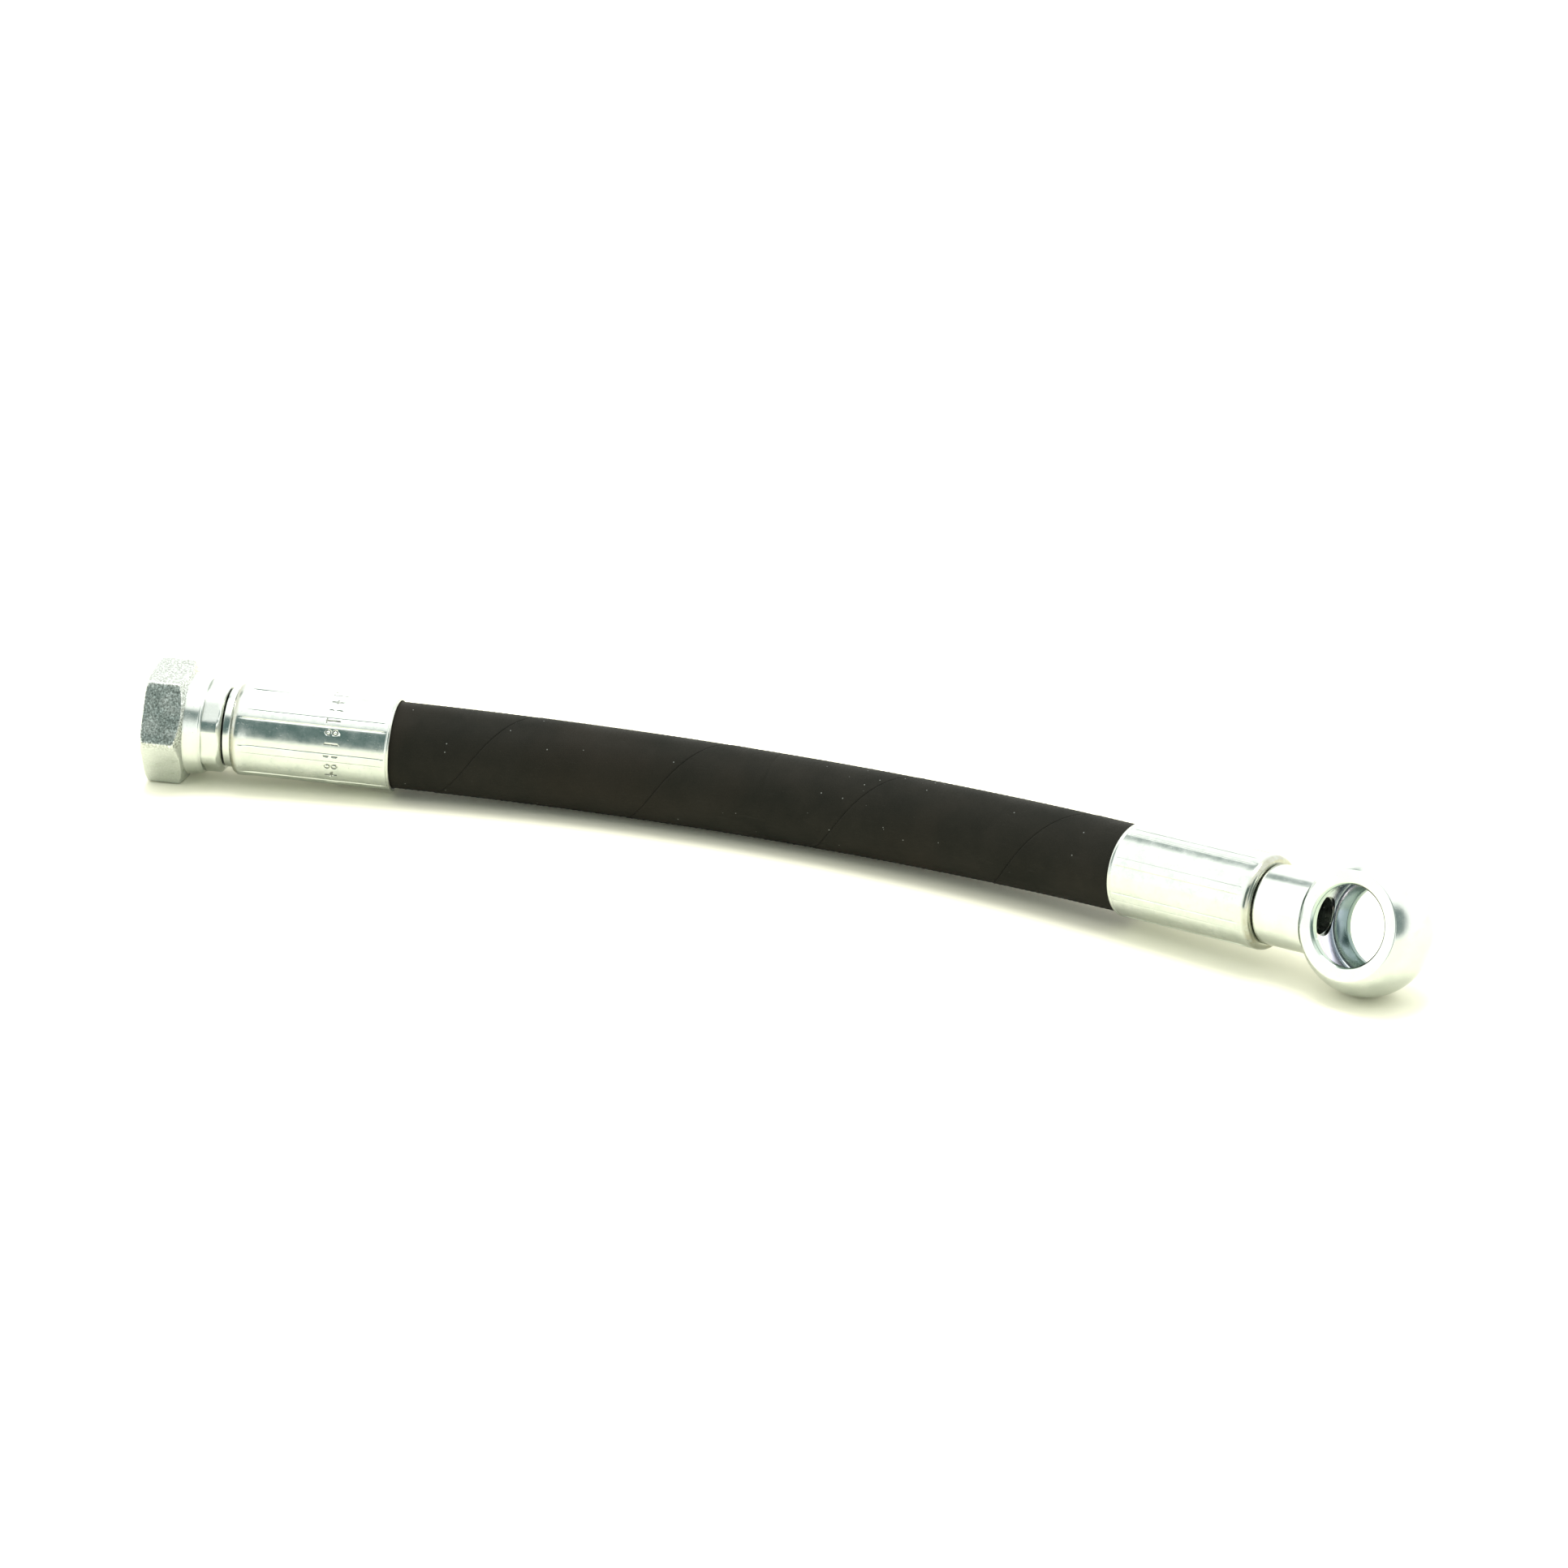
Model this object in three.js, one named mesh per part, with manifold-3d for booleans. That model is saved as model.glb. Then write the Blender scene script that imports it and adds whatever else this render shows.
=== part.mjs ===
// Hydraulic hose assembly: a short two-braid hose with a crimped swivel nut fitting at one end and
// a crimped banjo eye at the other, lying at rest on a floor. Millimetres, +Z up, +X from the nut
// towards the eye, origin under the middle of the bounding box.
import * as THREE from "three";
import Module from "manifold-3d";

// Swivel nut, M18 x 1.5 with a 22 mm hexagon. Distances run from its open face.
const HEX_FLATS = 22;
const HEX_LENGTH = 8.2;
const COLLAR_END = 11.8;
const COLLAR_RADIUS = 10.3;
const COLLAR_END_RADIUS = 9.5;
const NUT_LENGTH = 15.8;
const TAIL_FLATS = 17.9;
const TAIL_ROLL = THREE.MathUtils.degToRad(4);
const SOCKET_RADIUS = 8.5;
const TAIL_HOLE_RADIUS = 6.8;
const CHAMFER_FACE_RADIUS = 11.7;
const CHAMFER_BACK_RADIUS = 10.4;
const SOCKET_MOUTH_RADIUS = 9.4;
const SOCKET_MOUTH_DEPTH = 0.9;
const SOCKET_DEPTH = 11.3;
const TAIL_HOLE_START = 13;

// Fittings
const NIPPLE_BORE_RADIUS = 3.7;
const STEM_RADIUS = 6.2;
const NECK_RADIUS = 8;
const BARB_RADIUS = 4.5;
const BARB_ROOT_RADIUS = 4.15;
const BARBS = 4;
const CONE_HALF_ANGLE = THREE.MathUtils.degToRad(12);
const CONE_FACE = 5.5;
const CONE_FACE_RADIUS = 5.3;
const CONE_LENGTH = 5;
const HEAD_RADIUS = 7.8;
const O_RING_CORD = 1.5;
const O_RING_CENTRE = 8;
const O_RING_RADIUS = 5.4;

// Crimped ferrules
const FERRULE_LENGTH = 32.8;
const FERRULE_RADIUS = 9.5;
const FERRULE_BORE_RADIUS = 7.7;
const FERRULE_LIP_RADIUS = 6.5;
const CRIMP_RIDGES = 8;
const COUPLING_LENGTH = 50.5;

// Hose, DN10 with two wire braids, set in a steady bend
const HOSE_LENGTH = 160;
const HOSE_BEND = THREE.MathUtils.degToRad(25.5);
const HOSE_BEND_STEPS = 12;
const HOSE_SIDES = 16;
const HOSE_RADIUS = 8.75;
const CRIMP_TAPER = 3.2;
const HOSE_END_DEPTH = 27.6;
// inner and outer radius of each layer: where the hose is free, and squeezed under a ferrule
const LAYERS = {
  inner_tube: [[4.75, 5.95], [4.75, 5.55], "tube rubber", 0x1b1b1c],
  inner_wire_braid: [[6.0, 6.55], [5.6, 6.05], "braid wire", 0xa9a391],
  friction_layer: [[6.6, 6.95], [6.1, 6.35], "tube rubber", 0x1b1b1c],
  outer_wire_braid: [[7.0, 7.55], [6.4, 6.85], "braid wire", 0xa9a391],
  hose_cover: [[7.6, HOSE_RADIUS], [6.9, 7.5], "cover rubber", 0x2d2e2a],
};

// Banjo eye for an M16 banjo bolt
const EYE_DISTANCE = 54.5;
const EYE_RADIUS = 13.7;
const EYE_THICKNESS = 14.8;
const EYE_FACE_RADIUS = 10.8;
const EYE_BORE_RADIUS = 8;
const EYE_ROLL = THREE.MathUtils.degToRad(10.8);
const EYE_SEAT = 10.9;
const RECESS_RADIUS = 10.2;
const RECESS_WIDTH = 11.2;
const RECESS_SHOULDER = 2;
const PASSAGE_RADIUS = 3.9;
const PLUG_LENGTH = 0.4;
const PLUG_RADIUS = 5.2;

// share of the free hose at which its underside meets the floor
const FLOOR_CONTACT = 0.4;
const SEGMENTS = 20;

const wasm = await Module();
wasm.setup();

// ---- solids ----

// A body turned round the X axis from a closed outline of [distance along X, radius].
function turned(outline, segments = SEGMENTS) {
  const points = outline.map(([x, r]) => new THREE.Vector2(r, x));
  if (THREE.ShapeUtils.area(points) < 0) points.reverse();
  points.push(points[0].clone());
  return new THREE.LatheGeometry(points, segments).rotateZ(-Math.PI / 2);
}

// A prism along X with regular sides, one of them facing +Z.
function prism(flats, sides, start, end) {
  const radius = flats / 2 / Math.cos(Math.PI / sides);
  return new THREE.CylinderGeometry(radius, radius, end - start, sides)
    .rotateZ(-Math.PI / 2)
    .rotateX(Math.PI / sides)
    .translate((start + end) / 2, 0, 0);
}

function toSolid(geometry) {
  const flat = geometry.index ? geometry.toNonIndexed() : geometry;
  const index = new Map();
  const vertices = [];
  const triangles = [];
  const at = flat.getAttribute("position");
  for (let i = 0; i < at.count; i++) {
    const v = [at.getX(i), at.getY(i), at.getZ(i)];
    const key = v.map((c) => Math.round(c * 1e4)).join();
    if (!index.has(key)) {
      index.set(key, index.size);
      vertices.push(...v);
    }
    triangles.push(index.get(key));
  }
  const kept = [];
  for (let i = 0; i < triangles.length; i += 3) {
    const [a, b, c] = triangles.slice(i, i + 3);
    if (a !== b && b !== c && c !== a) kept.push(a, b, c);
  }
  const mesh = new wasm.Mesh({
    numProp: 3,
    vertProperties: new Float32Array(vertices),
    triVerts: new Uint32Array(kept),
  });
  return new wasm.Manifold(mesh);
}

function toGeometry(solid) {
  const mesh = solid.getMesh();
  return new THREE.BufferGeometry()
    .setAttribute("position", new THREE.BufferAttribute(mesh.vertProperties, 3))
    .setIndex(new THREE.BufferAttribute(mesh.triVerts, 1));
}

const finishes = {
  "zinc plate": { color: 0xc9ccc6, metalness: 1, roughness: 0.28 },
  "seal rubber": { color: 0x161616, metalness: 0, roughness: 0.5 },
  "tube rubber": { color: 0x1b1b1c, metalness: 0, roughness: 0.7 },
  "cover rubber": { color: 0x2d2e2a, metalness: 0, roughness: 0.75 },
  "braid wire": { color: 0xa9a391, metalness: 1, roughness: 0.4 },
};

function piece(name, geometry, finish) {
  const material = new THREE.MeshStandardMaterial({ name: finish, ...finishes[finish] });
  const mesh = new THREE.Mesh(geometry, material);
  mesh.name = name;
  return mesh;
}

// ---- the swivel nut: hexagon with both ends chamfered, tapered collar, crimped eight-sided tail ----

function swivelNut(roll) {
  const half = HEX_FLATS / 2;
  const corner = half / Math.cos(Math.PI / 6);
  const faceChamfer = (corner - CHAMFER_FACE_RADIUS) * Math.tan(Math.PI / 6);
  const backChamfer = (corner - CHAMFER_BACK_RADIUS) * Math.tan(Math.PI / 6);
  const bevelled = turned([
    [0, 0],
    [HEX_LENGTH, 0],
    [HEX_LENGTH, CHAMFER_BACK_RADIUS],
    [HEX_LENGTH - backChamfer, corner],
    [faceChamfer, corner],
    [0, CHAMFER_FACE_RADIUS],
  ], 2 * SEGMENTS);
  const hexagon = toSolid(prism(HEX_FLATS, 6, 0, HEX_LENGTH)).intersect(toSolid(bevelled));
  const collar = turned([
    [HEX_LENGTH - 1, 0],
    [COLLAR_END, 0],
    [COLLAR_END, COLLAR_END_RADIUS],
    [COLLAR_END - 0.6, COLLAR_END_RADIUS + 0.35],
    [HEX_LENGTH, COLLAR_RADIUS],
    [HEX_LENGTH - 1, COLLAR_RADIUS],
  ], 2 * SEGMENTS);
  const tail = toSolid(prism(TAIL_FLATS, 8, COLLAR_END - 1, NUT_LENGTH).rotateX(TAIL_ROLL)).intersect(
    toSolid(turned([
      [COLLAR_END - 1, 0],
      [NUT_LENGTH, 0],
      [NUT_LENGTH, TAIL_FLATS / 2 - 0.7],
      [NUT_LENGTH - 0.9, TAIL_FLATS / 2 + 0.35],
      [COLLAR_END - 1, TAIL_FLATS / 2 + 0.35],
    ], 2 * SEGMENTS)),
  );
  const socket = turned([
    [-1, 0],
    [NUT_LENGTH + 1, 0],
    [NUT_LENGTH + 1, TAIL_HOLE_RADIUS],
    [TAIL_HOLE_START, TAIL_HOLE_RADIUS],
    [SOCKET_DEPTH, SOCKET_RADIUS],
    [SOCKET_MOUTH_DEPTH, SOCKET_RADIUS],
    [0, SOCKET_MOUTH_RADIUS],
    [-1, SOCKET_MOUTH_RADIUS],
  ]);
  const body = hexagon.add(toSolid(collar)).add(tail).subtract(toSolid(socket));
  return piece("swivel_nut", toGeometry(body).rotateX(roll), "zinc plate");
}

// ---- hose tails: the barbed end pushed into the hose, measured from the ferrule mouth ----

// Outline from the hose end out to the ferrule, as [depth inside the ferrule, radius].
function barbedTail() {
  const outline = [
    [2.4, NIPPLE_BORE_RADIUS],
    [2.4, BARB_ROOT_RADIUS],
  ];
  const first = 4.6;
  const pitch = 5.4;
  for (let i = 0; i < BARBS; i++) {
    const depth = first + i * pitch;
    outline.push([depth, BARB_RADIUS], [depth + 1.2, BARB_RADIUS]);
    outline.push([depth + 1.6, BARB_ROOT_RADIUS], [depth + pitch - 0.8, BARB_ROOT_RADIUS]);
  }
  outline.push([27.9, BARB_ROOT_RADIUS]);
  outline.push([28.0, 6.9], [29.2, 6.9], [29.3, STEM_RADIUS]);
  return outline;
}

function swivelNipple() {
  const tail = barbedTail().map(([depth, r]) => [COUPLING_LENGTH - depth, r]);
  const coneRadius = (x) => CONE_FACE_RADIUS + (x - CONE_FACE) * Math.tan(CONE_HALF_ANGLE);
  const grooveStart = O_RING_CENTRE - 1;
  const grooveEnd = O_RING_CENTRE + 1;
  const grooveRadius = O_RING_RADIUS - O_RING_CORD / 2 - 0.2;
  const coneEnd = CONE_FACE + CONE_LENGTH;
  const ferruleEnd = COUPLING_LENGTH - FERRULE_LENGTH;
  return turned([
    ...tail,
    [ferruleEnd - 0.3, STEM_RADIUS],
    [ferruleEnd - 0.3, NECK_RADIUS - 0.3],
    [ferruleEnd - 0.6, NECK_RADIUS],
    [NUT_LENGTH + 1.4, NECK_RADIUS],
    [NUT_LENGTH + 1.1, NECK_RADIUS - 0.3],
    [NUT_LENGTH + 1.1, STEM_RADIUS],
    [coneEnd + 2.3, STEM_RADIUS],
    [coneEnd + 0.7, HEAD_RADIUS],
    [coneEnd, HEAD_RADIUS],
    [coneEnd, coneRadius(coneEnd)],
    [grooveEnd, coneRadius(grooveEnd)],
    [grooveEnd, grooveRadius],
    [grooveStart, grooveRadius],
    [grooveStart, coneRadius(grooveStart)],
    [CONE_FACE + 0.3, coneRadius(CONE_FACE + 0.3)],
    [CONE_FACE, CONE_FACE_RADIUS - 0.4],
    [CONE_FACE, NIPPLE_BORE_RADIUS],
  ]);
}

function banjoStem() {
  const seat = EYE_DISTANCE - EYE_SEAT;
  return turned([
    ...barbedTail(),
    [FERRULE_LENGTH + 0.3, STEM_RADIUS],
    [FERRULE_LENGTH + 0.3, NECK_RADIUS - 0.4],
    [FERRULE_LENGTH + 0.7, NECK_RADIUS],
    [seat - 0.1, NECK_RADIUS],
    [seat - 0.1, PLUG_RADIUS],
    [seat + PLUG_LENGTH, PLUG_RADIUS],
    [seat + PLUG_LENGTH, NIPPLE_BORE_RADIUS],
  ]);
}

// ---- ferrule: mouth at X = 0, lip that bites the stem at X = FERRULE_LENGTH ----

function ferrule() {
  const shell = toSolid(turned([
    [0, HOSE_RADIUS + 0.2],
    [CRIMP_TAPER, FERRULE_BORE_RADIUS],
    [27.8, FERRULE_BORE_RADIUS],
    [29.9, FERRULE_LIP_RADIUS],
    [FERRULE_LENGTH, FERRULE_LIP_RADIUS],
    [FERRULE_LENGTH, FERRULE_RADIUS - 1.1],
    [FERRULE_LENGTH - 0.3, FERRULE_RADIUS - 0.4],
    [FERRULE_LENGTH - 0.9, FERRULE_RADIUS - 0.1],
    [FERRULE_LENGTH - 1.8, FERRULE_RADIUS - 0.2],
    [1.6, FERRULE_RADIUS - 0.2],
    [0.9, FERRULE_RADIUS],
    [0, FERRULE_RADIUS - 0.2],
  ]));
  const ridge = { start: 2.4, end: FERRULE_LENGTH - 3, width: 1, height: 0.3 };
  let body = shell;
  for (let i = 0; i < CRIMP_RIDGES; i++) {
    const bar = new THREE.BoxGeometry(ridge.end - ridge.start, ridge.width, 1)
      .translate((ridge.start + ridge.end) / 2, 0, FERRULE_RADIUS - 0.2 + ridge.height - 0.5)
      .rotateX(((i + 0.5) * 2 * Math.PI) / CRIMP_RIDGES);
    body = body.add(toSolid(bar));
  }
  return toGeometry(body);
}

// ---- hose: layers along one centreline, straight in the ferrules and bent evenly between them ----

// Point and heading of the centreline at a distance from the nut face, in the plane of the bend.
function centreline(distance) {
  const bendRadius = HOSE_LENGTH / HOSE_BEND;
  const along = distance - COUPLING_LENGTH;
  const turn = THREE.MathUtils.clamp(along / HOSE_LENGTH, 0, 1) * HOSE_BEND;
  const heading = new THREE.Vector3(Math.cos(turn), -Math.sin(turn), 0);
  const point = new THREE.Vector3(
    COUPLING_LENGTH + bendRadius * Math.sin(turn),
    -bendRadius * (1 - Math.cos(turn)),
    0,
  );
  const straight = along < 0 ? along : Math.max(0, along - HOSE_LENGTH);
  return { point: point.addScaledVector(heading, straight), heading };
}

function hoseLayer(free, squeezed) {
  const far = COUPLING_LENGTH + HOSE_LENGTH;
  const stations = [
    [COUPLING_LENGTH - HOSE_END_DEPTH, squeezed],
    [COUPLING_LENGTH - CRIMP_TAPER, squeezed],
  ];
  for (let i = 0; i <= HOSE_BEND_STEPS; i++) {
    stations.push([COUPLING_LENGTH + (i * HOSE_LENGTH) / HOSE_BEND_STEPS, free]);
  }
  stations.push([far + CRIMP_TAPER, squeezed], [far + HOSE_END_DEPTH, squeezed]);

  const ring = (distance, radius) => {
    const { point, heading } = centreline(distance);
    const side = new THREE.Vector3(-heading.y, heading.x, 0);
    const up = new THREE.Vector3(0, 0, 1);
    return Array.from({ length: HOSE_SIDES }, (_, k) => {
      const angle = (2 * Math.PI * (k + 0.5)) / HOSE_SIDES;
      return point
        .clone()
        .addScaledVector(side, radius * Math.cos(angle))
        .addScaledVector(up, radius * Math.sin(angle));
    });
  };
  const outer = stations.map(([distance, radii]) => ring(distance, radii[1]));
  const inner = stations.map(([distance, radii]) => ring(distance, radii[0]));
  // the wall's rings in turn: out along the outside, back along the bore
  const rings = [...outer, ...inner.reverse()];
  const positions = [];
  rings.forEach((here, i) => {
    const next = rings[(i + 1) % rings.length];
    for (let k = 0; k < HOSE_SIDES; k++) {
      const m = (k + 1) % HOSE_SIDES;
      for (const v of [here[k], here[m], next[m], here[k], next[m], next[k]]) {
        positions.push(v.x, v.y, v.z);
      }
    }
  });
  return new THREE.BufferGeometry().setAttribute(
    "position",
    new THREE.Float32BufferAttribute(positions, 3),
  );
}

// ---- banjo eye: a crowned ring with flat faces, bored and grooved inside, open to the stem ----

function banjoEye() {
  const half = EYE_THICKNESS / 2;
  const outline = [
    [half, EYE_BORE_RADIUS + 0.4],
    [half - 0.4, EYE_BORE_RADIUS],
    [RECESS_WIDTH / 2, EYE_BORE_RADIUS],
    [RECESS_WIDTH / 2 - RECESS_SHOULDER, RECESS_RADIUS],
    [RECESS_SHOULDER - RECESS_WIDTH / 2, RECESS_RADIUS],
    [-RECESS_WIDTH / 2, EYE_BORE_RADIUS],
    [0.4 - half, EYE_BORE_RADIUS],
    [-half, EYE_BORE_RADIUS + 0.4],
  ];
  // an oval crown that comes down to the radius of the flat faces
  const crown = (EYE_RADIUS ** 2 - EYE_FACE_RADIUS ** 2) / half ** 2;
  const bands = 8;
  for (let i = 0; i <= bands; i++) {
    const x = half * ((2 * i) / bands - 1);
    outline.push([x, Math.sqrt(EYE_RADIUS ** 2 - crown * x ** 2)]);
  }
  // the ring is turned round X, then stood so that its bore runs across the hose
  const ring = turned(outline, 2 * SEGMENTS).rotateZ(-Math.PI / 2);
  const seat = new THREE.BoxGeometry(4, 20, 20).translate(-EYE_SEAT - 2, 0, 0);
  const passage = turned([
    [-EYE_SEAT - 1, 0],
    [0, 0],
    [0, PASSAGE_RADIUS],
    [0.2 + PLUG_LENGTH - EYE_SEAT, PASSAGE_RADIUS],
    [0.2 + PLUG_LENGTH - EYE_SEAT, PLUG_RADIUS + 0.2],
    [-EYE_SEAT - 1, PLUG_RADIUS + 0.2],
  ]);
  return toGeometry(toSolid(ring).subtract(toSolid(seat)).subtract(toSolid(passage)));
}

// ---- assembly ----

const assembly = new THREE.Group();

const eyeCentre = centreline(COUPLING_LENGTH + HOSE_LENGTH + EYE_DISTANCE).point;
const hoseLow = centreline(COUPLING_LENGTH + FLOOR_CONTACT * HOSE_LENGTH).point;
const nutBack = centreline(HEX_LENGTH).point;

// The plane of the bend tips until nut, hose and eye all touch the floor. Its tilt is the world's
// up direction seen from that plane, from the heights of the three supports.
const a = new THREE.Vector2(hoseLow.x - nutBack.x, hoseLow.y - nutBack.y);
const b = new THREE.Vector2(eyeCentre.x - nutBack.x, eyeCentre.y - nutBack.y);
const riseA = HOSE_RADIUS - HEX_FLATS / 2;
const riseB = EYE_RADIUS - HEX_FLATS / 2;
const up = new THREE.Vector3(
  (riseA * b.y - riseB * a.y) / a.cross(b),
  (riseB * a.x - riseA * b.x) / a.cross(b),
  0,
);
up.z = Math.sqrt(1 - up.lengthSq());
const alongX = eyeCentre.clone().addScaledVector(up, -eyeCentre.dot(up)).normalize();
const acrossY = up.clone().cross(alongX);
assembly.quaternion.setFromRotationMatrix(
  new THREE.Matrix4().makeBasis(alongX, acrossY, up).transpose(),
);

const nutRoll = Math.atan2(-up.y, up.z);
assembly.add(swivelNut(nutRoll));
assembly.add(piece("swivel_nipple", swivelNipple(), "zinc plate"));
const oRing = new THREE.TorusGeometry(O_RING_RADIUS, O_RING_CORD / 2, 8, SEGMENTS)
  .rotateY(Math.PI / 2)
  .translate(O_RING_CENTRE, 0, 0);
assembly.add(piece("cone_o_ring", oRing, "seal rubber"));

const nearFerrule = ferrule().rotateY(Math.PI).translate(COUPLING_LENGTH, 0, 0);
assembly.add(piece("nut_end_ferrule", nearFerrule, "zinc plate"));

for (const [name, [free, squeezed, finish]] of Object.entries(LAYERS)) {
  assembly.add(piece(name, hoseLayer(free, squeezed), finish));
}

const banjoEnd = new THREE.Group();
banjoEnd.position.copy(centreline(COUPLING_LENGTH + HOSE_LENGTH).point);
banjoEnd.rotation.z = -HOSE_BEND;
banjoEnd.add(piece("banjo_end_ferrule", ferrule(), "zinc plate"));
banjoEnd.add(piece("banjo_stem", banjoStem(), "zinc plate"));
const eye = piece("banjo_eye", banjoEye().rotateX(-EYE_ROLL), "zinc plate");
eye.position.x = EYE_DISTANCE;
banjoEnd.add(eye);
assembly.add(banjoEnd);

const part = new THREE.Group();
part.name = "hydraulic_hose_assembly";
part.add(assembly);
part.updateMatrixWorld(true);
const bounds = new THREE.Box3().setFromObject(part, true);
const centre = bounds.getCenter(new THREE.Vector3());
part.position.set(-centre.x, -centre.y, -bounds.min.z);

export default part;
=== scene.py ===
import math

import bmesh
import bpy
import numpy as np
from mathutils import Matrix, Vector


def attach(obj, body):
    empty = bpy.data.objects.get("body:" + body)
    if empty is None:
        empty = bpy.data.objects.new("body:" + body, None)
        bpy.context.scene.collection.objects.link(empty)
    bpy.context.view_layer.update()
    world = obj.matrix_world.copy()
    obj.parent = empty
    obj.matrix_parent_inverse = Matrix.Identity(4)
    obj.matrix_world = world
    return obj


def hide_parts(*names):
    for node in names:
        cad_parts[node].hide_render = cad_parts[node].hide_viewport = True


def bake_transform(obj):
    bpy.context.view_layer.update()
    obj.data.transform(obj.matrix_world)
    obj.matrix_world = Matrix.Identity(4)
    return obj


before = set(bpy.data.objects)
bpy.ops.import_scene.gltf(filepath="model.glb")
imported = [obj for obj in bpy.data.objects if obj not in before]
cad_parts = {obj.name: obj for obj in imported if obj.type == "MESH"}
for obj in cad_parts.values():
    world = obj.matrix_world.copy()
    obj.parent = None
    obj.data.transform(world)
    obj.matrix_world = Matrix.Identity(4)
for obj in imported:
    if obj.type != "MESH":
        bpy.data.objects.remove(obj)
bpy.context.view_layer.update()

MM = 0.001
TURN = 2 * math.pi

# ---- camera ----

camera = bpy.data.objects.new("camera", bpy.data.cameras.new("camera"))
bpy.context.collection.objects.link(camera)
camera.data.sensor_width = 36
camera.data.lens = 238.35
camera.data.clip_end = 20
camera.matrix_world = Matrix((
    (0.915080, -0.163863, 0.368479, 0.752538),
    (0.403271, 0.371832, -0.836130, -1.710008),
    (0.0, 0.913723, 0.406337, 0.848631),
    (0, 0, 0, 1),
))
bpy.context.scene.camera = camera

# ---- the frames and sizes of the CAD model, in millimetres ----

# X along the fitting towards the other end, Z square to the plane of the bend
COUPLING = np.array([
    (0.974921, -0.222361, -0.009230, -136.044704),
    (0.220436, 0.959109, 0.177533, -8.303361),
    (-0.030624, -0.175116, 0.984072, 11.245652),
    (0, 0, 0, 1),
])
BANJO = np.array([
    (0.975678, 0.219014, -0.009230, 71.864545),
    (-0.213945, 0.960578, 0.177533, 3.356643),
    (0.047749, -0.171241, 0.984072, 11.092233),
    (0, 0, 0, 1),
])
NUT_ROLL = math.radians(10.09)

HEX_FLATS = 22
HEX_LENGTH = 8.2
COLLAR_END = 11.8
NUT_LENGTH = 15.8
TAIL_FLATS = 17.9
TAIL_ROLL = math.radians(4)
FERRULE_LENGTH = 32.8
COUPLING_LENGTH = 50.5
STEM_RADIUS = 6.2
NECK_RADIUS = 8
BORE_RADIUS = 3.7

HOSE_LENGTH = 160
HOSE_BEND = math.radians(25.5)
HOSE_RADIUS = 8.75
CRIMP_TAPER = 3.2
HOSE_END_DEPTH = 27.6
HOSE_START = COUPLING_LENGTH - HOSE_END_DEPTH
HOSE_FAR = COUPLING_LENGTH + HOSE_LENGTH
HOSE_MIDDLE = COUPLING_LENGTH + HOSE_LENGTH / 2
HOSE_END = HOSE_FAR + HOSE_END_DEPTH

EYE_DISTANCE = 54.5
EYE_RADIUS = 13.7
EYE_THICKNESS = 14.8
EYE_FACE_RADIUS = 10.8
EYE_BORE_RADIUS = 8
EYE_ROLL = math.radians(10.8)
EYE_SEAT = 10.72
RECESS_RADIUS = 10.2
RECESS_WIDTH = 11.2
RECESS_SHOULDER = 2
PASSAGE_RADIUS = 3.9
PLUG_LENGTH = 0.4
PLUG_RADIUS = 5.2


def centreline(s):
    """Points and headings of the hose's centreline, in the coupling's frame, s along from the nut face."""
    s = np.asarray(s, float)
    radius = HOSE_LENGTH / HOSE_BEND
    turn = np.clip((s - COUPLING_LENGTH) / HOSE_LENGTH, 0, 1) * HOSE_BEND
    heading = np.stack([np.cos(turn), -np.sin(turn), 0 * turn], -1)
    point = np.stack([
        COUPLING_LENGTH + radius * np.sin(turn),
        -radius * (1 - np.cos(turn)),
        0 * turn,
    ], -1)
    straight = np.minimum(s - COUPLING_LENGTH, 0) + np.maximum(s - HOSE_FAR, 0)
    return point + heading * straight[..., None], heading


# ---- mesh making ----

def add_mesh(name, vertices, faces, sharp=32):
    mesh = bpy.data.meshes.new(name)
    mesh.from_pydata([tuple(v) for v in vertices], [], faces)
    mesh.shade_smooth()
    mesh.set_sharp_from_angle(angle=math.radians(sharp))
    made = bpy.data.objects.new(name, mesh)
    bpy.context.collection.objects.link(made)
    return made


def around(angles, s, r, matrix):
    """Points s along the X axis of matrix and r from it, at each of the angles."""
    theta = angles[:, None] + 0 * r
    local = np.stack([s + 0 * theta, r * np.cos(theta), r * np.sin(theta)], -1)
    return local @ matrix[:3, :3].T + matrix[:3, 3]


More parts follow.
